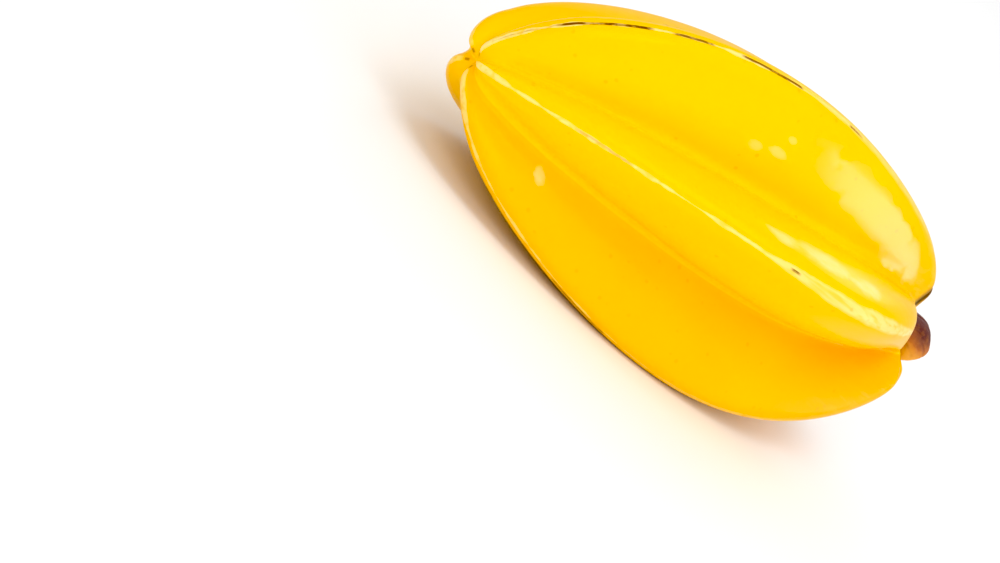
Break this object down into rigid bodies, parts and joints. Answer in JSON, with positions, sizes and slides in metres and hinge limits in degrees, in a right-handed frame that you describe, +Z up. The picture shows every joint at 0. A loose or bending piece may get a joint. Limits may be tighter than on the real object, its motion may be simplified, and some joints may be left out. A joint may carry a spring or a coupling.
{
  "type": "star fruit",
  "caption": "Whole ripe star fruit lying on two of its ridges, with a small calyx and the cut stub of its stalk.",
  "frame": {"origin": "middle of the model's footprint, on the surface that the fruit rests on", "axes": "+X along the fruit towards its stalk end, +Z up, +Y to the left of a viewer who looks towards the stalk end"},
  "size_m": [0.1104, 0.0638, 0.0524],
  "materials": {
    "fruit_skin": "waxy, semi-gloss fruit skin",
    "stalk": "dry, fibrous",
    "calyx_skin": "dry, leathery"
  },
  "bodies": {
    "root": {"fruit": "fruit_skin", "stem_stub": "stalk", "calyx": "calyx_skin"}
  },
  "joints": []
}
